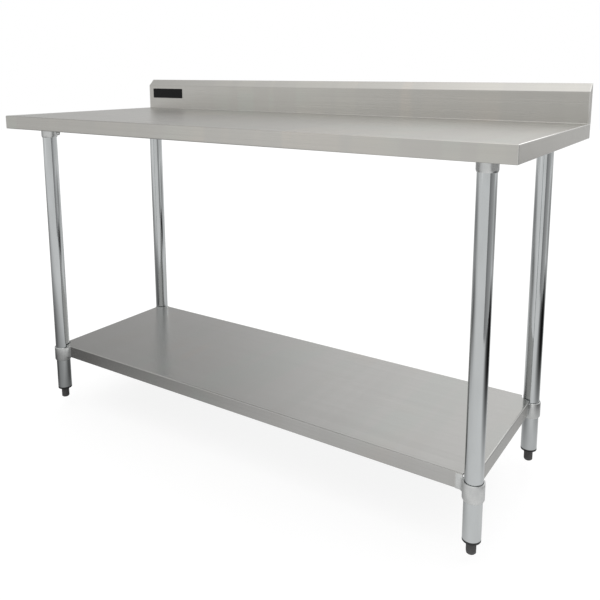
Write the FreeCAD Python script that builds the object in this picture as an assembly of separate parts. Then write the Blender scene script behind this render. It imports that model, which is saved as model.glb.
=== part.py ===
"""Stainless work table: a folded worktop with an upstand, four tube legs, a lower shelf that
slides on the legs and four screw feet.

Millimetres, +Z up. The origin is on the floor, under the middle of the table's bounding box.
+X runs along the table, -Y is the front and +Y is the wall side.
"""

import FreeCAD, Part
import math
import os

# Driving dimensions: overall size
LENGTH = 1524.0
DEPTH = 610.0
WORKTOP_TOP = 900.0
UPSTAND_TOP = 1000.0

# Folded sheet
SHEET = 1.5  # worktop and channels
SHELF_SHEET = 1.2
BEND = 2.5  # outside radius of every bend
EDGE = 1.0  # chamfer of the small edges of castings, studs and feet
SKIRT = 38.0  # height of the folded edge of the worktop and of the shelf
LIP = 12.0  # return lip along the bottom of each skirt
UPSTAND_DEPTH = 24.0

# Badge on the upstand, plain
BADGE_LENGTH = 140.0
BADGE_HEIGHT = 33.0
BADGE_THICKNESS = 0.8
BADGE_INSET = 20.0  # from the end of the table
BADGE_BOTTOM = WORKTOP_TOP + 36.0

# Legs
LEG_RADIUS = 20.65  # 1 5/8 inch tube
LEG_WALL = 1.5
LEG_BOTTOM = 36.0
LEG_END_GAP = 3.5  # from the top of a leg to its socket's plate
LEG_INSET_X = 85.0
LEG_INSET_Y = 86.0

# Hat channels under the worktop and the shelf
CHANNEL_CROWN = 60.0
CHANNEL_DEPTH = 25.0
CHANNEL_FLANGE = 20.0
SHELF_CHANNEL_DEPTH = 22.0
CHANNEL_GAP = 15.0  # from the front end of a channel to the skirt
CHANNEL_BACK_GAP = 5.0  # from its back end to the upstand
SHELF_CHANNEL_LENGTH = 1180.0

# Leg sockets
SOCKET_RADIUS = 23.0
SOCKET_BORE = 20.85
SOCKET_BOTTOM = 834.0
SOCKET_PLATE_X = 60.0
SOCKET_PLATE_Y = 110.0
SOCKET_PLATE = 4.0
SOCKET_BOLT_OFFSET = 40.0
SOCKET_CORNER = 10.0  # radius of the plate's corners

# Fasteners
BOLT_RADIUS = 4.0  # M8
BOLT_HEAD_FLATS = 13.0
BOLT_HEAD_HEIGHT = 5.3
BOLT_HOLE = 4.2
BOLT_PAST_NUT = 3.0
WELD_NUT_HEIGHT = 6.5
STUD_RADIUS = 3.0  # M6
STUD_LENGTH = 14.0
STUD_CHAMFER = 0.8
STUD_NUT_FLATS = 10.0
STUD_NUT_HEIGHT = 5.0
STUD_HOLE = 3.3
TRANSVERSE_STUD_SPACING = 230.0
CENTRE_STUD_SPACING = 480.0
SET_SCREW_LENGTH = 9.0
SET_SCREW_KEY = 4.0  # across the flats of its hexagon socket
SOCKET_SCREW_HEIGHT = 846.0
COLLAR_SCREW_HEIGHT = 148.0
SET_SCREW_GAP = 0.3  # between the tip of a collar's screw and the leg
BOSS_RADIUS = 7.0
BOSS_REACH = 29.0  # from the leg's axis to the face of the screw boss

# Shelf
SHELF_TOP = 177.0
SHELF_LENGTH = 1358.0
SHELF_DEPTH = 442.0
NOTCH_RADIUS = 25.0  # of the notch in the shelf's top, about the leg's axis
CORNER_RADIUS = 40.0  # where the skirt stops and the collar casting's web fills the corner
CORNER_SEAM = 0.3  # between the end of the skirt and the casting

# Shelf collars
COLLAR_RADIUS = 24.25
COLLAR_BORE = 21.5
COLLAR_BOTTOM = 126.5
COLLAR_TOP = 169.0
COLLAR_CHAMFER = 3.5
CORNER_BORE = 25.3  # hole of the corner plate above the ring
CORNER_THICKNESS = 5.0
WEB_THICKNESS = 4.0
WEB_BLEND = 10.0
PLATE_RADIUS = 48.0  # of the corner plate under the sheet
TONGUE_THICKNESS = 3.0
TONGUE_END = 62.0  # from the leg's axis
TONGUE_MARGIN = 2.5  # from the tongue to the shelf's lip and top

# Feet
INSERT_BOTTOM = 27.0
INSERT_TOP = 70.0
INSERT_LOWER_RADIUS = 12.5
INSERT_FLANGE = 5.0
FOOT_RADIUS = 11.3
FOOT_TOP = 26.0
FOOT_CHAMFER = 2.0
FOOT_FLATS = 21.0
FOOT_FLATS_HEIGHT = 8.0
STUD_FOOT_RADIUS = 5.0  # M10 stud of a foot
STUD_FOOT_BOTTOM = 10.0
STUD_FOOT_TOP = 70.0
THREAD_CLEARANCE = 0.08
STUD_END_GAP = 0.4

# Worked out from the above
HALF_LENGTH = LENGTH / 2
HALF_DEPTH = DEPTH / 2
SKIRT_BOTTOM = WORKTOP_TOP - SKIRT
UNDERSIDE = WORKTOP_TOP - SHEET
UPSTAND_FRONT = HALF_DEPTH - UPSTAND_DEPTH
RIDGE_CORNER = UPSTAND_TOP + BEND * math.sqrt(2)  # where the ridge would be with no bend
CHAMFER_START = RIDGE_CORNER - UPSTAND_DEPTH
LEG_X = HALF_LENGTH - LEG_INSET_X
LEG_Y = HALF_DEPTH - LEG_INSET_Y
TRANSVERSE_FRONT = -HALF_DEPTH + CHANNEL_GAP
TRANSVERSE_BACK = UPSTAND_FRONT - CHANNEL_BACK_GAP
CROWN = UNDERSIDE - CHANNEL_DEPTH
PLATE_BOTTOM = CROWN - SOCKET_PLATE
LEG_TOP = PLATE_BOTTOM - LEG_END_GAP
FLANGE_STUD_OFFSET = CHANNEL_CROWN / 2 + CHANNEL_FLANGE / 2
SHELF_BOTTOM = SHELF_TOP - SKIRT
SHELF_UNDERSIDE = SHELF_TOP - SHELF_SHEET
WEB_TOP = SHELF_TOP - BEND
FACE_OFFSET = SHELF_LENGTH / 2 - LEG_X  # from the leg's axis out to the shelf's side

CORNERS = {
    "front_left": (-1, -1),
    "front_right": (1, -1),
    "rear_left": (-1, 1),
    "rear_right": (1, 1),
}

Vector = FreeCAD.Vector
ORIGIN = Vector(0, 0, 0)
X_AXIS = Vector(1, 0, 0)
Y_AXIS = Vector(0, 1, 0)
Z_AXIS = Vector(0, 0, 1)


# General shapes


def block(x0, x1, y0, y1, z0, z1):
    return Part.makeBox(x1 - x0, y1 - y0, z1 - z0, Vector(x0, y0, z0))


def rod(radius, z0, z1, x=0.0, y=0.0):
    return Part.makeCylinder(radius, z1 - z0, Vector(x, y, z0))


def turned(outline, x=0.0, y=0.0):
    """A solid of revolution about the vertical through (x, y), from (radius, height) points."""
    points = [Vector(radius, 0, height) for radius, height in outline]
    face = Part.Face(Part.makePolygon(points + points[:1]))
    solid = face.revolve(ORIGIN, Z_AXIS, 360)
    solid.translate(Vector(x, y, 0))
    return solid


def hexagon(flats, z0, z1, x=0.0, y=0.0):
    radius = flats / math.sqrt(3)
    angles = [math.radians(60 * k) for k in range(7)]
    points = [Vector(x + radius * math.cos(a), y + radius * math.sin(a), z0) for a in angles]
    return Part.Face(Part.makePolygon(points)).extrude(Z_AXIS * (z1 - z0))


def bend_at(before, corner, after, radius):
    """The start, middle and end of the arc that rounds a corner of a path."""
    to_before = (before - corner).normalize()
    to_after = (after - corner).normalize()
    half = to_before.getAngle(to_after) / 2
    run = radius / math.tan(half)
    middle = (to_before + to_after).normalize() * (radius / math.sin(half) - radius)
    return corner + to_before * run, corner + middle, corner + to_after * run


def bent_path(points, radius):
    """An open wire through the points, with an arc at each corner."""
    edges = []
    last = points[0]
    for before, corner, after in zip(points, points[1:], points[2:]):
        start, middle, end = bend_at(before, corner, after, radius)
        edges.append(Part.makeLine(last, start))
        edges.append(Part.Arc(start, middle, end).toShape())
        last = end
    edges.append(Part.makeLine(last, points[-1]))
    return Part.Wire(edges)


def rounded_plate(half_x, half_y, z0, z1, radius, x=0.0, y=0.0):
    plate = block(x - half_x, x + half_x, y - half_y, y + half_y, z0, z1)
    upright = [edge for edge in plate.Edges if edge.BoundBox.ZLength > z1 - z0 - 0.01]
    return plate.makeFillet(radius, upright)


def joined(first, *others):
    return first.fuse(list(others)).removeSplitter()


def for_corner(shape, side, end):
    """A shape made for the front left corner, mirrored to where side and end point."""
    if side > 0:
        shape = shape.mirror(ORIGIN, X_AXIS)
    if end > 0:
        shape = shape.mirror(ORIGIN, Y_AXIS)
    return shape


# Worktop


def rounded_box(half_x, half_y, bottom, top, radius):
    body = block(-half_x, half_x, -half_y, half_y, bottom, top)
    return body.makeFillet(radius, body.Edges)


def folded_tray(half_x, half_y, bottom, top, sheet):
    """A sheet folded down on four sides, with a return lip, its corners welded and ground."""
    outside = rounded_box(half_x, half_y, bottom, top, BEND)
    inside = rounded_box(half_x - sheet, half_y - sheet, bottom + sheet, top - sheet, BEND - sheet)
    reach_x = half_x - LIP
    reach_y = half_y - LIP
    opening = block(-reach_x, reach_x, -reach_y, reach_y, bottom - sheet, bottom + 2 * sheet)
    return outside.cut(inside.fuse(opening))


def upstand_prism(inset, bottom, x0, x1):
    """The upstand's section, moved in from its outside by inset, run along the table."""
    front = UPSTAND_FRONT + inset
    back = HALF_DEPTH - inset
    shoulder = CHAMFER_START - inset * (math.sqrt(2) - 1)
    ridge = shoulder + back - front
    path = [
        Vector(x0, front, bottom),
        Vector(x0, front, shoulder),
        Vector(x0, back, ridge),
        Vector(x0, back, bottom),
    ]
    upper = bent_path(path, BEND - inset)
    closing = Part.makeLine(path[-1], path[0])
    return Part.Face(Part.Wire(upper.Edges + [closing])).extrude(X_AXIS * (x1 - x0))


def worktop():
    reach = HALF_LENGTH - SHEET
    below = SKIRT_BOTTOM + SKIRT / 2
    tray = folded_tray(HALF_LENGTH, HALF_DEPTH, SKIRT_BOTTOM, WORKTOP_TOP, SHEET)
    upstand = upstand_prism(0.0, below, -reach, reach)
    hollow = upstand_prism(SHEET, SKIRT_BOTTOM + SHEET + BEND, -reach, reach)
    return joined(tray, upstand).cut(hollow)


def upstand_end_cap(side):
    """The plate that closes one end of the upstand, welded to the skirt below it."""
    inner = HALF_LENGTH - SHEET
    plate = upstand_prism(0.0, WORKTOP_TOP - BEND, inner, HALF_LENGTH)
    tray = rounded_box(HALF_LENGTH, HALF_DEPTH, SKIRT_BOTTOM, WORKTOP_TOP, BEND)
    cap = plate.cut(tray)
    return cap if side > 0 else cap.mirror(ORIGIN, X_AXIS)


def badge_plate():
    left = -HALF_LENGTH + BADGE_INSET
    half_x = BADGE_LENGTH / 2
    half_z = BADGE_HEIGHT / 2
    plate = rounded_plate(half_x, half_z, 0.0, BADGE_THICKNESS, BEND)
    plate.rotate(ORIGIN, X_AXIS, 90)
    plate.translate(Vector(left + half_x, UPSTAND_FRONT, BADGE_BOTTOM + half_z))
    return plate


# Channels and their fasteners


def hat_face(depth, sheet, top):
    """A hat section across Y at x = 0, its flanges against a sheet at height top."""
    edge = CHANNEL_CROWN / 2 + CHANNEL_FLANGE
    wall = CHANNEL_CROWN / 2 - sheet
    low = top - depth + sheet
    path = [(-edge, top), (-wall, top), (-wall, low), (wall, low), (wall, top), (edge, top)]
    wire = bent_path([Vector(0, y, z) for y, z in path], BEND - sheet)
    return wire.makeOffset2D(sheet, 0, True, True)


def channel_along_x(x0, x1):
    channel = hat_face(CHANNEL_DEPTH, SHEET, UNDERSIDE).extrude(X_AXIS * (x1 - x0))
    channel.translate(Vector(x0, 0, 0))
    return channel


def drilled(shape, radius, places):
    holes = [rod(radius, SKIRT_BOTTOM, UNDERSIDE + SHEET, x, y) for x, y in places]
    return shape.cut(holes)


def stud_pairs(middle, spacing):
    """(distance along a channel, offset across it) of three pairs of studs."""
    rows = (middle - spacing, middle, middle + spacing)
    return [(row, side * FLANGE_STUD_OFFSET) for row in rows for side in (-1, 1)]


def transverse_studs(side):
    middle = (TRANSVERSE_FRONT + TRANSVERSE_BACK) / 2
    pairs = stud_pairs(middle, TRANSVERSE_STUD_SPACING)
    return [(side * LEG_X + across, along) for along, across in pairs]


def centre_studs():
    return stud_pairs(0.0, CENTRE_STUD_SPACING)


def socket_bolt_places(side):
    x = side * LEG_X
    offsets = (-SOCKET_BOLT_OFFSET, SOCKET_BOLT_OFFSET)
    return [(x, end * LEG_Y + offset) for end in (-1, 1) for offset in offsets]


def transverse_channel(side):
    channel = channel_along_x(TRANSVERSE_FRONT, TRANSVERSE_BACK)
    channel.rotate(ORIGIN, Z_AXIS, 90)
    channel.translate(Vector(side * LEG_X, 0, 0))
    channel = drilled(channel, STUD_HOLE, transverse_studs(side))
    return drilled(channel, BOLT_HOLE, socket_bolt_places(side))


def centre_channel():
    reach = LEG_X - CHANNEL_CROWN / 2 - CHANNEL_FLANGE - SHEET
    return drilled(channel_along_x(-reach, reach), STUD_HOLE, centre_studs())


def channel_stud_places():
    return transverse_studs(-1) + transverse_studs(1) + centre_studs()


def channel_studs():
    bottom = UNDERSIDE - STUD_LENGTH
    outline = [
        (0, UNDERSIDE),
        (STUD_RADIUS, UNDERSIDE),
        (STUD_RADIUS, bottom + STUD_CHAMFER),
        (STUD_RADIUS - STUD_CHAMFER, bottom),
        (0, bottom),
    ]
    return Part.makeCompound([turned(outline, x, y) for x, y in channel_stud_places()])


def hex_nut(flats, bore, z0, z1, x, y):
    return hexagon(flats, z0, z1, x, y).cut(rod(bore, z0, z1, x, y))


def channel_nuts():
    top = UNDERSIDE - SHEET
    bottom = top - STUD_NUT_HEIGHT
    places = channel_stud_places()
    nuts = [hex_nut(STUD_NUT_FLATS, STUD_RADIUS, bottom, top, x, y) for x, y in places]
    return Part.makeCompound(nuts)


# Leg sockets


def radial_rod(radius, start, end, height):
    """A rod towards the table's middle from the front left leg, square to the leg."""
    inward = Vector(1, 1, 0).normalize()
    at = Vector(-LEG_X, -LEG_Y, height)
    return Part.makeCylinder(radius, end - start, at + inward * start, inward)


def front_left_socket():
    taper = SOCKET_RADIUS - SOCKET_BORE
    outline = [
        (SOCKET_BORE, SOCKET_BOTTOM),
        (SOCKET_BORE + taper / 3, SOCKET_BOTTOM),
        (SOCKET_RADIUS, SOCKET_BOTTOM + 2 * taper),
        (SOCKET_RADIUS, PLATE_BOTTOM),
        (SOCKET_BORE, PLATE_BOTTOM),
    ]
    barrel = turned(outline, -LEG_X, -LEG_Y)
    half_x = SOCKET_PLATE_X / 2
    half_y = SOCKET_PLATE_Y / 2
    plate = rounded_plate(half_x, half_y, PLATE_BOTTOM, CROWN, SOCKET_CORNER, -LEG_X, -LEG_Y)
    boss = radial_rod(BOSS_RADIUS, SOCKET_BORE, BOSS_REACH, SOCKET_SCREW_HEIGHT)
    socket = joined(barrel, plate, boss)
    bore = rod(SOCKET_BORE, SOCKET_BOTTOM, PLATE_BOTTOM, -LEG_X, -LEG_Y)
    thread = radial_rod(BOLT_RADIUS, 0.0, BOSS_REACH + 1, SOCKET_SCREW_HEIGHT)
    socket = socket.cut([bore, thread])
    return drilled(socket, BOLT_HOLE, socket_bolt_places(-1))


def socket_bolts():
    """M8 hexagon bolts that hold the sockets up to the channels."""
    shank_end = CROWN + SHEET + WELD_NUT_HEIGHT + BOLT_PAST_NUT
    head = PLATE_BOTTOM - BOLT_HEAD_HEIGHT
    bolts = []
    for x, y in socket_bolt_places(-1) + socket_bolt_places(1):
        shank = rod(BOLT_RADIUS, PLATE_BOTTOM, shank_end, x, y)
        bolts.append(joined(hexagon(BOLT_HEAD_FLATS, head, PLATE_BOTTOM, x, y), shank))
    return Part.makeCompound(bolts)


def socket_weld_nuts():
    bottom = CROWN + SHEET
    top = bottom + WELD_NUT_HEIGHT
    places = socket_bolt_places(-1) + socket_bolt_places(1)
    nuts = [hex_nut(BOLT_HEAD_FLATS, BOLT_RADIUS, bottom, top, x, y) for x, y in places]
    return Part.makeCompound(nuts)


def set_screws(gap, height):
    """One M8 socket set screw at each corner, its tip at a gap from the leg."""
    start = LEG_RADIUS + gap
    end = start + SET_SCREW_LENGTH
    screw = radial_rod(BOLT_RADIUS, start, end, height)
    key = hexagon(SET_SCREW_KEY, 0.0, SET_SCREW_LENGTH / 2)
    key.rotate(ORIGIN, Y_AXIS, 90)
    key.rotate(ORIGIN, Z_AXIS, 45)
    inward = Vector(1, 1, 0).normalize()
    place = Vector(-LEG_X, -LEG_Y, height) + inward * (end - SET_SCREW_LENGTH / 2)
    key.translate(place)
    screw = screw.cut(key)
    return Part.makeCompound([for_corner(screw, *corner) for corner in CORNERS.values()])


# Legs and feet


def front_left_leg():
    outline = [
        (LEG_RADIUS - LEG_WALL, LEG_BOTTOM),
        (LEG_RADIUS, LEG_BOTTOM),
        (LEG_RADIUS, LEG_TOP),
        (LEG_RADIUS - LEG_WALL, LEG_TOP),
    ]
    return turned(outline, -LEG_X, -LEG_Y)


def front_left_insert():
    """The plastic plug in the leg's end, with the thread that the foot's stud runs in."""
    bore = STUD_FOOT_RADIUS + THREAD_CLEARANCE
    plug = LEG_RADIUS - LEG_WALL
    outline = [
        (bore, INSERT_BOTTOM),
        (INSERT_LOWER_RADIUS, INSERT_BOTTOM),
        (LEG_RADIUS, LEG_BOTTOM - INSERT_FLANGE),
        (LEG_RADIUS, LEG_BOTTOM),
        (plug, LEG_BOTTOM),
        (plug, INSERT_TOP),
        (bore, INSERT_TOP),
    ]
    return turned(outline, -LEG_X, -LEG_Y)


def front_left_foot_stud():
    outline = [
        (0, STUD_FOOT_BOTTOM),
        (STUD_FOOT_RADIUS, STUD_FOOT_BOTTOM),
        (STUD_FOOT_RADIUS, STUD_FOOT_TOP - EDGE),
        (STUD_FOOT_RADIUS - EDGE, STUD_FOOT_TOP),
        (0, STUD_FOOT_TOP),
    ]
    return turned(outline, -LEG_X, -LEG_Y)


def front_left_foot():
    """A round foot with six spanner flats round its lower end."""
    socket = STUD_FOOT_RADIUS + THREAD_CLEARANCE
    outline = [
        (0, 0),
        (FOOT_RADIUS - FOOT_CHAMFER, 0),
        (FOOT_RADIUS, FOOT_CHAMFER),
        (FOOT_RADIUS, FOOT_TOP - EDGE),
        (FOOT_RADIUS - EDGE, FOOT_TOP),
        (socket, FOOT_TOP),
        (socket, STUD_FOOT_BOTTOM - STUD_END_GAP),
        (0, STUD_FOOT_BOTTOM - STUD_END_GAP),
    ]
    body = turned(outline, -LEG_X, -LEG_Y)
    ring = rod(FOOT_RADIUS + 1, 0, FOOT_FLATS_HEIGHT, -LEG_X, -LEG_Y)
    waste = ring.cut(hexagon(FOOT_FLATS, 0, FOOT_FLATS_HEIGHT, -LEG_X, -LEG_Y))
    return body.cut(waste)


# Shelf


def shelf():
    tray = folded_tray(SHELF_LENGTH / 2, SHELF_DEPTH / 2, SHELF_BOTTOM, SHELF_TOP, SHELF_SHEET)
    notches = []
    for side, end in CORNERS.values():
        x, y = side * LEG_X, end * LEG_Y
        notches.append(rod(NOTCH_RADIUS, SHELF_BOTTOM - 1, SHELF_TOP + 1, x, y))
        notches.append(rod(CORNER_RADIUS + CORNER_SEAM, SHELF_BOTTOM - 1, WEB_TOP, x, y))
    return tray.cut(notches)


def shelf_channel():
    """The hat channel spot-welded along the middle of the shelf's underside."""
    face = hat_face(SHELF_CHANNEL_DEPTH, SHELF_SHEET, SHELF_UNDERSIDE)
    channel = face.extrude(X_AXIS * SHELF_CHANNEL_LENGTH)
    channel.translate(Vector(-SHELF_CHANNEL_LENGTH / 2, 0, 0))
    return channel


def collar_ring():
    outline = [
        (COLLAR_BORE, COLLAR_BOTTOM),
        (COLLAR_RADIUS - COLLAR_CHAMFER / 2, COLLAR_BOTTOM),
        (COLLAR_RADIUS, COLLAR_BOTTOM + COLLAR_CHAMFER),
        (COLLAR_RADIUS, COLLAR_TOP - EDGE),
        (COLLAR_RADIUS - EDGE, COLLAR_TOP),
        (COLLAR_BORE, COLLAR_TOP),
    ]
    return turned(outline)


def collar_web():
    """The web along X from the ring to the shelf's front, blended into the ring outside."""
    inner = WEB_THICKNESS - FACE_OFFSET
    web = block(0, CORNER_RADIUS, -FACE_OFFSET, inner, SHELF_BOTTOM, WEB_TOP)
    web = web.common(rod(CORNER_RADIUS, SHELF_BOTTOM, WEB_TOP))
    web = web.cut(rod(CORNER_BORE, COLLAR_TOP, WEB_TOP))
    offset = FACE_OFFSET + WEB_BLEND
    reach = COLLAR_RADIUS + WEB_BLEND
    centre_x = math.sqrt(reach**2 - offset**2)
    on_ring = Vector(centre_x, -offset, SHELF_BOTTOM) * (COLLAR_RADIUS / reach)
    corners = [
        Vector(centre_x, -FACE_OFFSET, SHELF_BOTTOM),
        Vector(on_ring.x, on_ring.y, SHELF_BOTTOM),
        Vector(COLLAR_BORE, -FACE_OFFSET, SHELF_BOTTOM),
    ]
    face = Part.Face(Part.makePolygon(corners + corners[:1]))
    blend = face.extrude(Z_AXIS * (COLLAR_TOP - SHELF_BOTTOM - EDGE))
    blend = blend.cut(rod(WEB_BLEND, SHELF_BOTTOM, COLLAR_TOP, centre_x, -offset))
    return web.fuse(blend)


def collar_tongue():
    """The tongue behind the shelf's skirt, which the sheet is spot-welded to."""
    outer = SHELF_SHEET - FACE_OFFSET
    bottom = SHELF_BOTTOM + TONGUE_MARGIN
    top = SHELF_UNDERSIDE - TONGUE_MARGIN
    start = CORNER_RADIUS - WEB_THICKNESS
    return block(start, TONGUE_END, outer, outer + TONGUE_THICKNESS, bottom, top)


def corner_plate():
    """The quarter plate under the shelf's sheet, round the leg's inner side."""
    bottom = SHELF_TOP - CORNER_THICKNESS
    edge = BEND - FACE_OFFSET
    plate = rod(PLATE_RADIUS, bottom, SHELF_UNDERSIDE)
    quarter = block(edge, PLATE_RADIUS, edge, PLATE_RADIUS, bottom, SHELF_UNDERSIDE)
    return plate.common(quarter).cut(rod(CORNER_BORE, bottom, SHELF_UNDERSIDE))


def across_diagonal(shape):
    """The same shape along Y where it ran along X."""
    return shape.mirror(ORIGIN, Vector(1, -1, 0).normalize())


def front_left_collar():
    """The cast collar: a ring round the leg, two webs, their tongues and the corner plate."""
    web = collar_web()
    tongue = collar_tongue()
    casting = joined(
        collar_ring(),
        web,
        across_diagonal(web),
        tongue,
        across_diagonal(tongue),
        corner_plate(),
    )
    casting.translate(Vector(-LEG_X, -LEG_Y, 0))
    boss = radial_rod(BOSS_RADIUS, COLLAR_BORE, BOSS_REACH, COLLAR_SCREW_HEIGHT)
    casting = joined(casting, boss)
    bore = rod(COLLAR_BORE, COLLAR_BOTTOM, COLLAR_TOP, -LEG_X, -LEG_Y)
    thread = radial_rod(BOLT_RADIUS, 0.0, BOSS_REACH + 1, COLLAR_SCREW_HEIGHT)
    return casting.cut([bore, thread])


# Assembly


def all_parts():
    parts = {
        "worktop": worktop(),
        "upstand_end_cap_left": upstand_end_cap(-1),
        "upstand_end_cap_right": upstand_end_cap(1),
        "badge_plate": badge_plate(),
        "transverse_channel_left": transverse_channel(-1),
        "transverse_channel_right": transverse_channel(1),
        "centre_channel": centre_channel(),
        "channel_studs": channel_studs(),
        "channel_nuts": channel_nuts(),
        "socket_bolts": socket_bolts(),
        "socket_weld_nuts": socket_weld_nuts(),
        "socket_set_screws": set_screws(0.0, SOCKET_SCREW_HEIGHT),
        "shelf": shelf(),
        "shelf_channel": shelf_channel(),
        "collar_set_screws": set_screws(SET_SCREW_GAP, COLLAR_SCREW_HEIGHT),
    }
    at_each_corner = {
        "leg_socket": front_left_socket(),
        "leg": front_left_leg(),
        "foot_insert": front_left_insert(),
        "foot_stud": front_left_foot_stud(),
        "foot": front_left_foot(),
        "shelf_collar": front_left_collar(),
    }
    for name, shape in at_each_corner.items():
        for corner, (side, end) in CORNERS.items():
            parts[f"{name}_{corner}"] = for_corner(shape, side, end)
    return parts


os.makedirs("parts", exist_ok=True)
for node, solid in all_parts().items():
    solid.exportStep(f"parts/{node}.step")
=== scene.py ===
import math

import bmesh
import bpy
from mathutils import Matrix, Vector


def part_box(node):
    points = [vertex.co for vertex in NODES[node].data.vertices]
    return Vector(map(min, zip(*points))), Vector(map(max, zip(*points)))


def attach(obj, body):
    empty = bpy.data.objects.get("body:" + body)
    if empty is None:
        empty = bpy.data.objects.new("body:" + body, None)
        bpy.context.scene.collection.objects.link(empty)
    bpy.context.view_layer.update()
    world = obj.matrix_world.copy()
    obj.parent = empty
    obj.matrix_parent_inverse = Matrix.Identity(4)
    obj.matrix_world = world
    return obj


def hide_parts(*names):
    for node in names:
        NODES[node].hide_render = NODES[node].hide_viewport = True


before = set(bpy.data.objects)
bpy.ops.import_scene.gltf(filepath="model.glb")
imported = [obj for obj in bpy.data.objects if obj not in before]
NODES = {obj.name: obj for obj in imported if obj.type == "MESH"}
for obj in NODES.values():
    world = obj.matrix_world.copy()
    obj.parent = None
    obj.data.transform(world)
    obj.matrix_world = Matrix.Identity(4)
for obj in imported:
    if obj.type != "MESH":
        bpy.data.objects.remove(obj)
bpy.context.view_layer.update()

# The looks of a stainless work table: sheet, tube and castings with fine bends in place of the
# CAD's coarse ones, procedural materials, studio light and the camera. Metres, +Z up.

MM = 0.001

# Sizes that the frame's boxes don't give
SHEET = 1.5 * MM
SHELF_SHEET = 1.2 * MM
BEND = 2.5 * MM  # outside radius of every bend
LIP = 12 * MM  # return lip under each skirt
SKIRT = 38 * MM
UPSTAND_DEPTH = 24 * MM
COVE = 1.5 * MM  # inside radius where the worktop turns up into the upstand
LEG_WALL = 1.5 * MM
NOTCH = 25 * MM  # radius of the shelf's corner notches, about the legs
SKIRT_END = 40.3 * MM  # where the shelf's skirts stop, from the legs' axes
THREAD_RADIUS = 5.08 * MM  # of the holes that take a foot's stud
INSERT_NOSE = 12.5 * MM
INSERT_FLANGE = 5 * MM
FOOT_RADIUS = 11.3 * MM
FOOT_CHAMFER = 2 * MM
FLATS = 21 * MM
FLATS_HEIGHT = 8 * MM
FOOT_RIBS = 6
RIB_PITCH = 2.7 * MM
RIB_GROOVE = 0.6 * MM
RIB_HALF_GROOVE = 0.3 * RIB_PITCH
TUBE_EDGE = 0.4 * MM
INSERT_EDGE = 0.5 * MM
FOOT_EDGE = 0.4 * MM
FOOT_SHOULDER = 0.8 * MM
RIB_EDGE = 0.25 * MM
CASTING_EDGE = 0.5 * MM
BEND_STEPS = 8
TUBE_STEPS = 128
CASTING_STEPS = 96
SHARP = math.radians(35)
FLAT = math.radians(0.5)
SQUARE = 0.9999  # the largest part of a unit normal that is square to an axis
ALIKE = 0.001  # how far apart two parts of a unit normal may be and count as the same
MERGE = 1e-6
CAD_MERGE = 0.01 * MM

CORNERS = {
    "front_left": (-1, -1),
    "front_right": (1, -1),
    "rear_left": (-1, 1),
    "rear_right": (1, 1),
}


# Outlines


def arc(centre, radius, start, end, steps=BEND_STEPS):
    """Points along an arc in a plane, its angles in degrees."""
    angles = [math.radians(start + (end - start) * k / steps) for k in range(steps + 1)]
    return [(centre[0] + radius * math.cos(a), centre[1] + radius * math.sin(a)) for a in angles]


def rounded(points, radii):
    """A closed outline with its corners rounded; a radius of 0 keeps a corner sharp."""
    outline = []
    for k, (point, radius) in enumerate(zip(points, radii)):
        corner = Vector(point)
        if not radius:
            outline.append(tuple(corner))
            continue
        before = (Vector(points[k - 1]) - corner).normalized()
        after = (Vector(points[(k + 1) % len(points)]) - corner).normalized()
        half = before.angle(after) / 2
        centre = corner + (before + after).normalized() * radius / math.sin(half)
        first = corner + before * radius / math.tan(half) - centre
        turn = first.angle_signed(corner + after * radius / math.tan(half) - centre)
        for step in range(BEND_STEPS + 1):
            arm = first.copy()
            arm.rotate(Matrix.Rotation(-turn * step / BEND_STEPS, 2))
            outline.append(tuple(centre + arm))
    return outline


# Meshes


def mesh_object(name, verts, faces):
    """A new object from points and faces, its doubles merged and its normals outwards."""
    mesh = bpy.data.meshes.new(name)
    mesh.from_pydata(verts, [], faces)
    bm = bmesh.new()
    bm.from_mesh(mesh)
    bmesh.ops.remove_doubles(bm, verts=bm.verts, dist=MERGE)
    bmesh.ops.recalc_face_normals(bm, faces=bm.faces)
    bm.to_mesh(mesh)
    bm.free()
    obj = bpy.data.objects.new(name, mesh)
    bpy.context.scene.collection.objects.link(obj)
    return obj


def bridge(ring_count, ring_size, closed=False):
    """Quads between rings that follow each other in a list of points."""
    faces = []
    for ring in range(ring_count if closed else ring_count - 1):
        a = ring * ring_size
        b = (ring + 1) % ring_count * ring_size
        for k in range(ring_size):
            n = (k + 1) % ring_size
            faces.append((a + k, a + n, b + n, b + k))
    return faces


def turned(name, outline, centre, steps=CASTING_STEPS, shape=None):
    """A solid of revolution from a closed (radius, height) outline; shape may vary the radius."""
    verts = []
    for radius, height in outline:
        for k in range(steps):
            angle = 2 * math.pi * k / steps
            r = shape(radius, height, angle) if shape else radius
            verts.append((centre[0] + r * math.cos(angle), centre[1] + r * math.sin(angle), height))
    return mesh_object(name, verts, bridge(len(outline), steps, closed=True))


def extruded(name, outline, reach):
    """A prism of a closed (y, z) outline, as far along X on both sides."""
    size = len(outline)
    verts = [(x, y, z) for x in (-reach, reach) for y, z in outline]
    ends = [tuple(range(size))[::-1], tuple(range(size, 2 * size))]
    return mesh_object(name, verts, bridge(2, size) + ends)


def rounded_rectangle(half_x, half_y, radius, height):
    """A ring of points, its corners as arcs, which may be of no radius."""
    ring = []
    for quarter, (side, end) in enumerate(((1, 1), (-1, 1), (-1, -1), (1, -1))):
        centre = (side * (half_x - radius), end * (half_y - radius))
        ring += arc(centre, radius, 90 * quarter, 90 * quarter + 90)
    return [(x, y, height) for x, y in ring]


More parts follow.
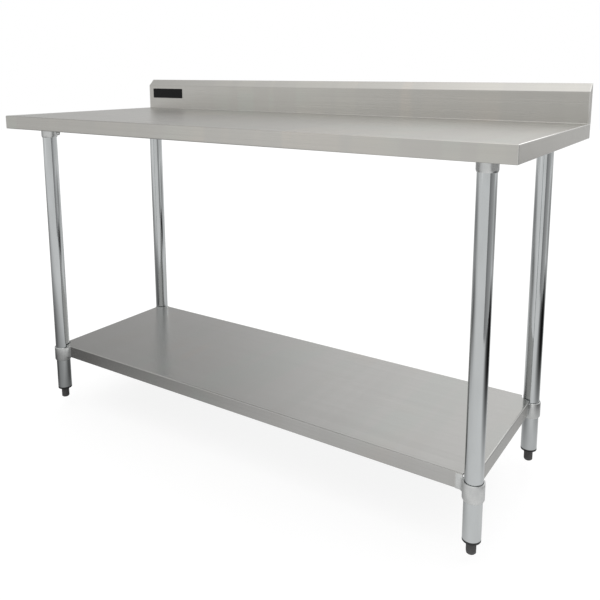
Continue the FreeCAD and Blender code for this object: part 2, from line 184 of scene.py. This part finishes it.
def folded_tray(name, half_x, half_y, bottom, top, sheet):
    """A sheet folded down on four sides with a return lip, as one closed shell."""
    inner = BEND - sheet
    profile = arc((BEND, top - BEND), BEND, 90, 180)
    profile += arc((BEND, bottom + BEND), BEND, 180, 270)
    profile += [(LIP, bottom), (LIP, bottom + sheet)]
    profile += arc((BEND, bottom + BEND), inner, 270, 180)
    profile += arc((BEND, top - BEND), inner, 180, 90)
    verts = []
    for inset, height in profile:
        verts += rounded_rectangle(
            half_x - inset, half_y - inset, max(BEND - inset, 0.0), height
        )
    size = len(verts) // len(profile)
    last = len(verts) - size
    caps = [tuple(range(size)), tuple(range(last, last + size))[::-1]]
    return mesh_object(name, verts, bridge(len(profile), size) + caps)


def combine(base, tool, operation):
    """Joins tool to base or cuts it away, and deletes tool."""
    step = base.modifiers.new("combine", "BOOLEAN")
    step.operation = operation
    step.solver = "EXACT"
    step.object = tool
    shape = base.evaluated_get(bpy.context.evaluated_depsgraph_get())
    result = bpy.data.meshes.new_from_object(shape)
    base.modifiers.clear()
    base.data = result
    bpy.data.objects.remove(tool)


def shade(obj):
    """Smooth bends between flat faces: faces square or at 45 degrees to the axes stay flat."""
    for face in obj.data.polygons:
        parts = sorted(abs(c) for c in face.normal)
        square = parts[2] > SQUARE
        sloped = parts[0] < ALIKE and abs(parts[1] - parts[2]) < ALIKE
        face.use_smooth = not (square or sloped)
    mark_sharp(obj.data)


def shade_round(obj):
    for face in obj.data.polygons:
        face.use_smooth = True
    mark_sharp(obj.data)


def mark_sharp(mesh):
    bm = bmesh.new()
    bm.from_mesh(mesh)
    for edge in bm.edges:
        edge.smooth = len(edge.link_faces) == 2 and edge.calc_face_angle() < SHARP
    bm.to_mesh(mesh)
    bm.free()


def softened(name, node):
    """A copy of a CAD node with its hard edges rounded off."""
    bm = bmesh.new()
    bm.from_mesh(NODES[node].data)
    bmesh.ops.remove_doubles(bm, verts=bm.verts, dist=CAD_MERGE)
    bmesh.ops.dissolve_limit(
        bm, angle_limit=FLAT, verts=bm.verts, edges=bm.edges, delimit={"NORMAL"}
    )
    hard = [e for e in bm.edges if len(e.link_faces) == 2 and e.calc_face_angle() > SHARP]
    bmesh.ops.bevel(
        bm, geom=hard, offset=CASTING_EDGE, segments=2, profile=0.5, affect="EDGES",
        clamp_overlap=True
    )
    mesh = bpy.data.meshes.new(name)
    bm.to_mesh(mesh)
    bm.free()
    for layer in [a for a in mesh.attributes if a.name == "custom_normal"]:
        mesh.attributes.remove(layer)
    obj = bpy.data.objects.new(name, mesh)
    bpy.context.scene.collection.objects.link(obj)
    shade_round(obj)
    return obj


# Material nodes


class Graph:
    """A material's nodes, made and linked in short calls."""

    def __init__(self, name, metallic, colour, roughness):
        self.material = bpy.data.materials.new(name)
        self.material.use_nodes = True
        self.tree = self.material.node_tree
        self.shader = self.tree.nodes["Principled BSDF"]
        self.shader.inputs["Metallic"].default_value = metallic
        self.shader.inputs["Base Color"].default_value = (*colour, 1)
        self.shader.inputs["Roughness"].default_value = roughness

    def node(self, kind, links=None, **settings):
        node = self.tree.nodes.new("ShaderNode" + kind)
        for name, value in settings.items():
            setattr(node, name, value)
        for name, source in (links or {}).items():
            if isinstance(source, bpy.types.NodeSocket):
                self.tree.links.new(source, node.inputs[name])
            else:
                node.inputs[name].default_value = source
        return node

    def place(self, scale):
        """The object's own coordinates, stretched: metres times scale along each axis."""
        coordinates = self.node("TexCoord").outputs["Object"]
        return self.node("Mapping", {"Vector": coordinates, "Scale": scale}).outputs[0]

    def noise(self, scale, detail=2.0, roughness=0.5):
        links = {"Vector": self.place(scale), "Scale": 1.0}
        links |= {"Detail": detail, "Roughness": roughness}
        return self.node("TexNoise", links).outputs["Fac"]

    def spread(self, value, low, high, start=0.3, end=0.7):
        """A 0 to 1 value, taken from start to end, spread from low to high."""
        links = {"Value": value, "From Min": start, "From Max": end, "To Min": low, "To Max": high}
        return self.node("MapRange", links).outputs[0]

    def maths(self, operation, first, second):
        return self.node("Math", {0: first, 1: second}, operation=operation).outputs[0]

    def mix(self, factor, first, second):
        """A mix of two colours, each three numbers or a socket."""
        mix = self.node("Mix", {"Factor": factor}, data_type="RGBA")
        for name, colour in (("A", first), ("B", second)):
            socket = [s for s in mix.inputs if s.name == name and s.type == "RGBA"][0]
            if isinstance(colour, bpy.types.NodeSocket):
                self.tree.links.new(colour, socket)
            else:
                socket.default_value = (*colour, 1)
        return [s for s in mix.outputs if s.type == "RGBA"][0]

    def edges(self, radius, start=0.02, end=0.25):
        """0 on faces and 1 where the surface turns within radius."""
        soft = self.node("Bevel", {"Radius": radius}, samples=4).outputs[0]
        plain = self.node("NewGeometry").outputs["Normal"]
        dot = self.node("VectorMath", {0: soft, 1: plain}, operation="DOT_PRODUCT").outputs["Value"]
        return self.spread(self.maths("SUBTRACT", 1.0, dot), 0.0, 1.0, start, end)

    def end_bends(self):
        """1 on the bends that turn to or from X, and 0 on flat faces and the other bends."""
        normal = self.node("NewGeometry").outputs["Normal"]
        along = self.node("SeparateXYZ", {0: normal}).outputs[0]
        square = self.maths("MULTIPLY", along, along)
        slope = self.maths("MULTIPLY", square, self.maths("SUBTRACT", 1.0, square))
        return self.spread(slope, 0.0, 1.0, 0.02, 0.15)

    def bump(self, height, distance, strength=1.0, normal=None):
        links = {"Height": height, "Distance": distance, "Strength": strength}
        if normal:
            links["Normal"] = normal
        return self.node("Bump", links).outputs[0]

    def drive(self, **sockets):
        """Links sources to the shader's sockets: colour, roughness, normal or tangent."""
        names = {"colour": "Base Color", "roughness": "Roughness"}
        names |= {"normal": "Normal", "tangent": "Tangent"}
        for name, source in sockets.items():
            self.tree.links.new(source, self.shader.inputs[names[name]])
        return self.material


# Materials


def times(colour, factor):
    return [c * factor for c in colour]


def brushed_sheet(name, colour, roughness, anisotropy, press_depth):
    """Satin stainless sheet, its grain along X and down the folded ends, with a painted highlight on
    its edges and on the bends that turn to or from X.

    press_depth is how much darker the wide marks across the sheet are.
    """
    g = Graph(name, 1.0, colour, roughness)
    g.shader.inputs["Anisotropic"].default_value = anisotropy
    fine = g.noise((9, 2600, 2600), detail=3.0)
    bay = g.noise((5.5, 1.1, 1.1), detail=1.0)
    press = g.noise((15, 0.7, 0.7), detail=1.0)
    streak = g.noise((1.3, 300, 300), detail=3.0, roughness=0.6)
    band = g.noise((2.2, 26, 26), detail=2.0)
    patch = g.noise((3.1, 5.3, 7.9), detail=2.0)
    warm = [c * f for c, f in zip(colour, (1.035, 0.995, 0.965))]
    cool = [c * f for c, f in zip(colour, (0.955, 1.0, 0.985))]
    tint = g.mix(g.spread(patch, 0.0, 1.0, 0.38, 0.62), cool, warm)
    tone = g.mix(g.spread(bay, 0.0, 1.0), tint, times(colour, 0.955))
    tone = g.mix(g.spread(press, 0.0, 1.0, 0.45, 0.54), tone, times(colour, 1 - press_depth))
    dark = g.mix(g.spread(streak, 0.0, 0.65), tone, times(colour, 0.9))
    # Painted highlight: the edges and the bends that turn to or from X are mixed towards a pale
    # colour, as well as being made smoother
    edge = g.maths("MAXIMUM", g.end_bends(), g.edges(3 * MM))
    painted_highlight = (0.86, 0.86, 0.84)
    edge_wear_and_highlight = g.mix(g.maths("MULTIPLY", edge, 0.6), dark, painted_highlight)
    rough = g.spread(streak, roughness - 0.02, roughness + 0.02)
    rough = g.maths("ADD", rough, g.spread(fine, -0.02, 0.02))
    rough = g.maths("ADD", rough, g.spread(band, -0.015, 0.015))
    rough = g.maths("MULTIPLY", rough, g.spread(edge, 1.0, 0.25, 0.0, 1.0))
    grain = g.bump(fine, 0.02 * MM)
    waves = g.bump(patch, 0.6 * MM, normal=grain)
    across = g.node("NewGeometry").outputs["Normal"]
    side = {0: across, 1: (1.0, 0.0, 0.0)}
    side = g.node("VectorMath", side, operation="CROSS_PRODUCT").outputs["Vector"]
    side = g.node("VectorMath", {0: side, 1: (0.0, 0.01, 0.0)}, operation="ADD")
    side = g.node("VectorMath", {0: side.outputs[0]}, operation="NORMALIZE").outputs["Vector"]
    return g.drive(colour=edge_wear_and_highlight, roughness=rough, normal=waves, tangent=side)


def polished_tube():
    """Bright drawn tube with faint marks along and round it."""
    colour = (0.648, 0.67, 0.677)
    g = Graph("leg_tube_polished", 1.0, colour, 0.08)
    drawn = g.noise((900, 900, 5), detail=2.0)
    ring = g.noise((40, 40, 1500), detail=2.0)
    smudge = g.noise((38, 38, 9), detail=3.0)
    tone = g.mix(g.spread(smudge, 0.0, 0.5), colour, (0.558, 0.575, 0.575))
    edge_wear_and_highlight = g.mix(g.maths("MULTIPLY", g.edges(1 * MM), 0.6), tone, (0.85, 0.86, 0.87))
    rough = g.maths("ADD", g.spread(smudge, 0.05, 0.12), g.spread(ring, -0.01, 0.02))
    normal = g.bump(drawn, 0.006 * MM, normal=g.bump(smudge, 0.05 * MM))
    return g.drive(colour=edge_wear_and_highlight, roughness=rough, normal=normal)


def cast_aluminium():
    """Tumbled casting: soft satin, slightly mottled, with a painted highlight along its edges."""
    colour = (0.72, 0.73, 0.72)
    g = Graph("casting_tumbled", 1.0, colour, 0.34)
    skin = g.noise((900, 900, 900), detail=3.0)
    mottle = g.noise((90, 90, 60), detail=4.0)
    tone = g.mix(g.spread(mottle, 0.0, 0.6), colour, (0.58, 0.59, 0.59))
    # Painted highlight: the edges are mixed towards a pale grey
    edge_wear_and_highlight = g.mix(g.maths("MULTIPLY", g.edges(1.2 * MM), 0.8), tone, (0.88, 0.88, 0.88))
    rough = g.maths("ADD", g.spread(mottle, 0.26, 0.38), g.spread(skin, -0.05, 0.05))
    normal = g.bump(skin, 0.05 * MM, normal=g.bump(mottle, 0.25 * MM))
    return g.drive(colour=edge_wear_and_highlight, roughness=rough, normal=normal)


def galvanised():
    """Hot-dip sheet with its spangle."""
    g = Graph("channel_spangled", 0.9, (0.5, 0.52, 0.53), 0.38)
    cells = g.node("TexVoronoi", {"Vector": g.place((70, 70, 70)), "Scale": 1.0}, distance="EUCLIDEAN")
    tone = g.node("SeparateColor", {"Color": cells.outputs["Color"]}).outputs[0]
    colour = g.mix(tone, (0.4, 0.42, 0.44), (0.62, 0.64, 0.65))
    dull = g.noise((25, 25, 25), detail=3.0)
    edge_wear_and_highlight = g.mix(g.maths("MULTIPLY", g.edges(1.5 * MM), 0.5), colour, (0.75, 0.76, 0.76))
    rough = g.maths("ADD", g.spread(tone, 0.26, 0.44, 0.0, 1.0), g.spread(dull, -0.05, 0.08))
    return g.drive(colour=edge_wear_and_highlight, roughness=rough, normal=g.bump(tone, 0.02 * MM))


def zinc_plate():
    """Bright zinc with a faint yellow passivation."""
    g = Graph("fastener_zinc", 1.0, (0.68, 0.67, 0.64), 0.28)
    cloud = g.noise((220, 220, 220), detail=3.0)
    colour = g.mix(g.spread(cloud, 0.0, 1.0), (0.72, 0.72, 0.71), (0.62, 0.59, 0.5))
    edge_wear_and_highlight = g.mix(g.maths("MULTIPLY", g.edges(0.5 * MM), 0.7), colour, (0.84, 0.84, 0.82))
    marks = g.noise((1400, 1400, 300), detail=2.0)
    return g.drive(
        colour=edge_wear_and_highlight, roughness=g.spread(cloud, 0.2, 0.38), normal=g.bump(marks, 0.02 * MM)
    )


def black_oxide():
    """Chemically blackened steel, worn grey on its edges."""
    g = Graph("screw_black_oxide", 0.7, (0.05, 0.05, 0.052), 0.42)
    cloud = g.noise((500, 500, 500), detail=3.0)
    colour = g.mix(g.spread(cloud, 0.0, 1.0), (0.035, 0.035, 0.038), (0.075, 0.072, 0.07))
    edge_wear_and_highlight = g.mix(g.maths("MULTIPLY", g.edges(0.4 * MM), 0.8), colour, (0.3, 0.3, 0.3))
    return g.drive(
        colour=edge_wear_and_highlight, roughness=g.spread(cloud, 0.34, 0.5), normal=g.bump(cloud, 0.02 * MM)
    )


def moulded_plastic(name, colour, roughness):
    """Fine-grained moulding, scuffed paler along its edges."""
    g = Graph(name, 0.0, colour, roughness)
    g.shader.inputs["Specular IOR Level"].default_value = 0.4
    grain = g.noise((1100, 1100, 1100), detail=2.0)
    cloud = g.noise((120, 120, 120), detail=3.0)
    tone = g.mix(g.spread(cloud, 0.0, 0.5), colour, times(colour, 1.5))
    edge_wear_and_highlight = g.mix(g.maths("MULTIPLY", g.edges(0.8 * MM), 0.5), tone, [c + 0.12 for c in colour])
    rough = g.spread(cloud, roughness - 0.06, roughness + 0.08)
    return g.drive(colour=edge_wear_and_highlight, roughness=rough, normal=g.bump(grain, 0.05 * MM))


def badge_gloss():
    """Black gloss plate, plain, with fine wipe marks."""
    colour = (0.006, 0.006, 0.0065)
    g = Graph("badge_gloss_black", 0.0, colour, 0.2)
    g.shader.inputs["Specular IOR Level"].default_value = 0.15
    wipe = g.noise((60, 60, 1500), detail=2.0)
    edge_wear_and_highlight = g.mix(g.maths("MULTIPLY", g.edges(0.6 * MM), 0.6), colour, (0.1, 0.1, 0.1))
    return g.drive(
        colour=edge_wear_and_highlight, roughness=g.spread(wipe, 0.12, 0.28), normal=g.bump(wipe, 0.01 * MM)
    )


def finish_as(obj, material, body, nodes):
    """Gives a piece its material, body and slot, and hides the CAD nodes it stands for."""
    obj.data.materials.clear()
    obj.data.materials.append(material)
    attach(obj, body)
    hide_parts(*nodes)


# Sheet pieces


def upstand_section(inset):
    """The upstand's outline in (y, z), moved in by inset, with a cove where it meets the top."""
    low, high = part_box("worktop")
    top = low.z + SKIRT
    front = high.y - UPSTAND_DEPTH + inset
    back = high.y - inset
    ridge = high.z + BEND * math.sqrt(2)
    shoulder = ridge - UPSTAND_DEPTH - inset * (math.sqrt(2) - 1)
    bottom = top - SKIRT / 2 if not inset else low.z + SHEET + BEND
    points = [(front, shoulder), (back, shoulder + back - front), (back, bottom), (front, bottom)]
    outline = rounded(points, (BEND - inset, BEND - inset, 0, 0))
    if not inset:
        under = (front - COVE, top - SHEET / 2)
        outline += [(front, under[1]), under]
        outline += arc((front - COVE, top + COVE), COVE, -90, 0)
    return outline


def worktop():
    low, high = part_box("worktop")
    top = low.z + SKIRT
    reach = high.x - SHEET
    piece = folded_tray("worktop_sheet", high.x, high.y, low.z, top, SHEET)
    upstand = extruded("upstand", upstand_section(0), reach)
    combine(piece, upstand, "UNION")
    hollow = extruded("hollow", upstand_section(SHEET), reach)
    combine(piece, hollow, "DIFFERENCE")
    shade(piece)
    return piece


def shelf():
    low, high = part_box("shelf")
    piece = folded_tray("shelf_sheet", high.x, high.y, low.z, high.z, SHELF_SHEET)
    for corner in CORNERS:
        for radius, top in ((NOTCH, high.z + SKIRT), (SKIRT_END, high.z - BEND)):
            outline = [(radius, top), (0, top), (0, low.z - SKIRT), (radius, low.z - SKIRT)]
            cutter = turned("notch", outline, leg_axis(corner), steps=TUBE_STEPS)
            combine(piece, cutter, "DIFFERENCE")
    shade(piece)
    return piece


# Tubes, castings and feet


def leg_axis(corner):
    low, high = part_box(f"leg_{corner}")
    return (low.x + high.x) / 2, (low.y + high.y) / 2


def leg(corner):
    low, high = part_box(f"leg_{corner}")
    radius = (high.x - low.x) / 2
    inner = radius - LEG_WALL
    points = [(inner, low.z), (radius, low.z), (radius, high.z), (inner, high.z)]
    outline = rounded(points, (TUBE_EDGE,) * 4)
    piece = turned(f"leg_tube_{corner}", outline, leg_axis(corner), steps=TUBE_STEPS)
    shade_round(piece)
    return piece


def insert(corner):
    """The plastic plug in the leg's end, with its flange and taper showing."""
    low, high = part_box(f"foot_insert_{corner}")
    flange = (high.x - low.x) / 2
    tube_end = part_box(f"leg_{corner}")[0].z
    plug = flange - LEG_WALL
    bore = THREAD_RADIUS
    points = [
        (bore, low.z),
        (INSERT_NOSE, low.z),
        (flange, tube_end - INSERT_FLANGE),
        (flange, tube_end),
        (plug, tube_end),
        (plug, high.z),
        (bore, high.z),
    ]
    radii = (0, INSERT_EDGE, INSERT_EDGE, 0, 0, INSERT_EDGE, 0)
    piece = turned(f"insert_{corner}", rounded(points, radii), leg_axis(corner))
    shade_round(piece)
    return piece


def foot(corner):
    """A ribbed foot whose lower end has six spanner flats."""
    low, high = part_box(f"foot_{corner}")
    radius = FOOT_RADIUS
    ledge = low.z + FLATS_HEIGHT
    points = [(0, low.z), (radius - FOOT_CHAMFER, low.z), (radius, low.z + FOOT_CHAMFER)]
    # Two points almost in one place: the lower takes the flats and the upper stays round
    points += [(radius, ledge), (radius + MERGE, ledge + MERGE)]
    radii = [0, FOOT_EDGE, FOOT_EDGE, 0, 0]
    for rib in range(FOOT_RIBS):
        z = ledge + (rib + 0.5) * RIB_PITCH
        points += [(radius, z - RIB_HALF_GROOVE), (radius - RIB_GROOVE, z)]
        points += [(radius, z + RIB_HALF_GROOVE)]
        radii += [RIB_EDGE] * 3
    points += [(radius, high.z), (THREAD_RADIUS, high.z), (THREAD_RADIUS, high.z - RIB_PITCH)]
    points += [(0, high.z - RIB_PITCH)]
    radii += [FOOT_SHOULDER, 0, 0, 0]

    def flats(r, z, angle):
        if z > ledge or r < FLATS / 2:
            return r
        off = (angle % (math.pi / 3)) - math.pi / 6
        return min(r, FLATS / 2 / math.cos(off))

    outline = rounded(points, radii)
    piece = turned(f"foot_ribbed_{corner}", outline, leg_axis(corner), shape=flats)
    shade_round(piece)
    return piece


# Scene

# Brightness of the studio round the table as (compass turn, level): a turn of 0 is -X, a
# quarter is -Y, a half is +X and three quarters is +Y
LOW_RING = (
    (0.0, 0.6),
    (0.11, 0.66),
    (0.14, 0.88),
    (0.165, 0.95),
    (0.178, 0.78),
    (0.2, 0.76),
    (0.4, 0.7),
    (0.52, 0.6),
    (0.66, 0.6),
    (0.72, 0.7),
    (0.765, 0.86),
    (0.785, 1.0),
    (0.8, 1.0),
    (0.84, 0.88),
    (0.9, 0.78),
    (1.0, 0.6),
)
MID_RING = (
    (0.0, 0.55),
    (0.14, 0.6),
    (0.25, 0.7),
    (0.52, 0.65),
    (0.72, 0.75),
    (0.74, 1.9),
    (0.768, 1.9),
    (0.785, 0.95),
    (0.82, 0.86),
    (0.836, 0.78),
    (0.865, 0.53),
    (0.92, 0.32),
    (1.0, 0.52),
)
TOP_LEVEL = 1.18
LOW_TO_MID = (0.12, 0.32)  # heights on the unit sphere
MID_TO_TOP = (0.6, 1.0)

# The floor that the steel mirrors: its glowing level, and darker places as x, y, inner and outer
# radius and depth, the two under the table being painted shadow
MIRRORED_LEVEL = 0.76
DARK_PLACES = (
    (1.7, 0.75, 0.4, 1.2, 0.95),
    (2.0, 0.4, 0.5, 1.1, 0.8),
    (-1.15, -0.5, 0.1, 1.2, 0.72),
    (-0.95, -0.25, 0.08, 0.28, 0.65),
    (-2.7, 0.3, 1.0, 3.4, 0.45),
    (-6.0, 0.8, 2.0, 5.0, 0.45),
    (2.3, 3.0, 0.8, 2.6, 0.4),
    # Painted shadow: these two darken the floor under the shelf, where the table's shade would fall
    (0.35, 0.05, 0.1, 0.5, 0.6),
    (-0.5, 0.05, 0.12, 0.4, 0.75),
    (4.5, 4.5, 1.0, 4.0, 0.45),
)
FLOOR_RADIUS = 12.0
FLOOR_DROP = 25 * MM  # so that a foot screwed right out still shows above the floor
SEEN_LEVEL = 0.82
SEEN_GREY = 0.3
FLAG = ((1.75, -1.05), (2.3, 0.5))  # x, y of its ends
FLAG_HEIGHT = 1.8
FLAG_LEVELS = (0.22, 0.5)


def ramp(tree, source, stops):
    """A colour ramp of grey levels."""
    node = tree.nodes.new("ShaderNodeValToRGB")
    elements = node.color_ramp.elements
    while len(elements) < len(stops):
        elements.new(0.5)
    for element, (position, level) in zip(elements, stops):
        element.position = position
        element.color = (level, level, level, 1)
    tree.links.new(source, node.inputs[0])
    return node.outputs["Color"]


def blend_by_height(tree, height, limits, low, high):
    """A mix from low to high as height passes between the limits."""
    rise = tree.nodes.new("ShaderNodeMapRange")
    rise.inputs["From Min"].default_value = limits[0]
    rise.inputs["From Max"].default_value = limits[1]
    tree.links.new(height, rise.inputs["Value"])
    both = tree.nodes.new("ShaderNodeMix")
    both.data_type = "RGBA"
    tree.links.new(rise.outputs[0], both.inputs["Factor"])
    first, second = [s for s in both.inputs if s.type == "RGBA"]
    tree.links.new(low, first)
    if isinstance(high, bpy.types.NodeSocket):
        tree.links.new(high, second)
    else:
        second.default_value = (high, high, high, 1)
    return [s for s in both.outputs if s.type == "RGBA"][0]


def studio_surroundings():
    """White to the camera, and softly uneven, as a lit studio is, to the steel."""
    world = bpy.data.worlds.new("studio")
    bpy.context.scene.world = world
    world.use_nodes = True
    tree = world.node_tree
    tree.nodes.clear()
    direction = tree.nodes.new("ShaderNodeTexCoord").outputs["Generated"]
    turn = tree.nodes.new("ShaderNodeTexGradient")
    turn.gradient_type = "RADIAL"
    tree.links.new(direction, turn.inputs[0])
    parts = tree.nodes.new("ShaderNodeSeparateXYZ")
    tree.links.new(direction, parts.inputs[0])
    low = ramp(tree, turn.outputs["Fac"], LOW_RING)
    mid = ramp(tree, turn.outputs["Fac"], MID_RING)
    sides = blend_by_height(tree, parts.outputs["Z"], LOW_TO_MID, low, mid)
    whole = blend_by_height(tree, parts.outputs["Z"], MID_TO_TOP, sides, TOP_LEVEL)
    lit = tree.nodes.new("ShaderNodeBackground")
    tree.links.new(whole, lit.inputs["Color"])
    white = tree.nodes.new("ShaderNodeBackground")
    white.inputs["Color"].default_value = (1, 1, 1, 1)
    rays = tree.nodes.new("ShaderNodeLightPath")
    choose = tree.nodes.new("ShaderNodeMixShader")
    tree.links.new(rays.outputs["Is Camera Ray"], choose.inputs[0])
    tree.links.new(lit.outputs[0], choose.inputs[1])
    tree.links.new(white.outputs[0], choose.inputs[2])
    output = tree.nodes.new("ShaderNodeOutputWorld")
    tree.links.new(choose.outputs[0], output.inputs["Surface"])


def glowing(name, grey):
    """A matt grey that also gives off white light."""
    g = Graph(name, 0.0, (grey, grey, grey), 0.9)
    g.shader.inputs["Specular IOR Level"].default_value = 0.0
    g.shader.inputs["Emission Color"].default_value = (1, 1, 1, 1)
    return g


def floor_disc(name, drop, grey):
    """A round floor, drop metres under the feet at rest, and its material."""
    ring = arc((0, 0), FLOOR_RADIUS, 0, 360, steps=64)[:-1]
    floor = mesh_object(name, [(x, y, -drop) for x, y in ring], [tuple(range(len(ring)))])
    g = glowing(name, grey)
    floor.data.materials.append(g.material)
    return floor, g


def seen_floor():
    """The pale floor that the camera sees, with soft shadows."""
    floor, g = floor_disc("floor", FLOOR_DROP, SEEN_GREY)
    g.shader.inputs["Emission Strength"].default_value = SEEN_LEVEL
    floor.visible_glossy = False
    floor.visible_diffuse = False


def mirrored_floor():
    """The floor that the steel mirrors: a glowing sweep that stands in for a lit floor, with darker
    studio round it and painted shadows under the table.
    """
    drop = FLOOR_DROP + 2 * MM
    floor, g = floor_disc("floor_in_steel", drop, 0.0)
    level = MIRRORED_LEVEL
    place = g.node("TexCoord").outputs["Object"]
    for x, y, inner, outer, depth in DARK_PLACES:
        links = {0: place, 1: (x, y, -drop)}
        away = g.node("VectorMath", links, operation="DISTANCE").outputs["Value"]
        level = g.maths("MULTIPLY", g.spread(away, 1 - depth, 1.0, inner, outer), level)
    g.tree.links.new(level, g.shader.inputs["Emission Strength"])
    floor.visible_camera = False


def flag():
    """A grey screen to the right of the camera, which gives the legs their dark stripe."""
    corners = [(*place, height) for height in (0.0, FLAG_HEIGHT) for place in FLAG]
    screen = mesh_object("flag", corners, [(0, 1, 3, 2)])
    g = glowing("flag", 0.0)
    along = g.node("SeparateXYZ", {0: g.node("TexCoord").outputs["Object"]}).outputs["Y"]
    level = g.spread(along, *FLAG_LEVELS, FLAG[0][1], FLAG[1][1])
    g.tree.links.new(level, g.shader.inputs["Emission Strength"])
    screen.data.materials.append(g.material)
    screen.visible_camera = False
    screen.visible_shadow = False
    screen.visible_diffuse = False


def softbox(name, place, aim, width, height, power):
    data = bpy.data.lights.new(name, "AREA")
    data.shape = "RECTANGLE"
    data.size = width
    data.size_y = height
    data.energy = power
    light = bpy.data.objects.new(name, data)
    bpy.context.scene.collection.objects.link(light)
    light.location = place
    light.rotation_euler = (Vector(aim) - Vector(place)).to_track_quat("-Z", "Y").to_euler()
    light.visible_camera = False


# The camera: focal length over frame width, shift, place, and its turn down and round
SENSOR_WIDTH = 36  # millimetres, as Blender's cameras have it
CAMERA_REACH = 1.15
CAMERA_SHIFT = (-0.0155, -0.185)
CAMERA_PLACE = (1.116, -1.538, 1.027)
CAMERA_PITCH = 0.1676
CAMERA_YAW = 0.5762


def camera():
    data = bpy.data.cameras.new("camera")
    data.sensor_width = SENSOR_WIDTH
    data.lens = SENSOR_WIDTH * CAMERA_REACH
    data.shift_x = CAMERA_SHIFT[0]
    data.shift_y = CAMERA_SHIFT[1]
    data.clip_end = 100
    obj = bpy.data.objects.new("camera", data)
    bpy.context.scene.collection.objects.link(obj)
    obj.location = CAMERA_PLACE
    obj.rotation_euler = (math.pi / 2 - CAMERA_PITCH, 0, CAMERA_YAW)
    bpy.context.scene.camera = obj


def main():
    bpy.context.scene.view_settings.view_transform = "Standard"
    steel = brushed_sheet(
        "worktop_brushed", (0.624, 0.612, 0.579), roughness=0.3, anisotropy=0.6, press_depth=0.055
    )
    # The shelf's sheet is darker than the worktop's: partly a different sheet, and partly painted
    # shade for its place under the worktop
    shelf_steel = brushed_sheet(
        "shelf_brushed", (0.551, 0.546, 0.53), roughness=0.19, anisotropy=0.78, press_depth=0.015
    )
    tube = polished_tube()
    casting = cast_aluminium()
    finish_as(worktop(), steel, "frame", ["worktop"])
    finish_as(shelf(), shelf_steel, "shelf", ["shelf"])
    finishes = {
        "worktop_stainless": steel,
        "shelf_stainless": shelf_steel,
        "leg_tube": tube,
        "cast_aluminium": casting,
        "channel_galvanised": galvanised(),
        "zinc_fasteners": zinc_plate(),
        "black_screws": black_oxide(),
        "insert_plastic": moulded_plastic("insert_black", (0.02, 0.02, 0.021), 0.45),
        "foot_plastic": moulded_plastic("foot_grey", (0.075, 0.073, 0.073), 0.5),
        "badge_black": badge_gloss(),
    }
    for corner in CORNERS:
        finish_as(leg(corner), tube, "frame", [f"leg_{corner}"])
        plastic = finishes["insert_plastic"]
        finish_as(insert(corner), plastic, "frame", [f"foot_insert_{corner}"])
        plastic = finishes["foot_plastic"]
        finish_as(foot(corner), plastic, f"foot_{corner}", [f"foot_{corner}"])
        for node, body in ((f"leg_socket_{corner}", "frame"), (f"shelf_collar_{corner}", "shelf")):
            piece = softened(f"{node}_casting", node)
            finish_as(piece, casting, body, [node])
    for node in NODES.values():
        for slot in node.material_slots:
            slot.material = finishes[slot.material.name]
    studio_surroundings()
    seen_floor()
    mirrored_floor()
    flag()
    softbox("softbox_top", (0.4, -0.3, 3.2), (0, 0, 0.5), width=3.0, height=2.2, power=4)
    camera()


main()
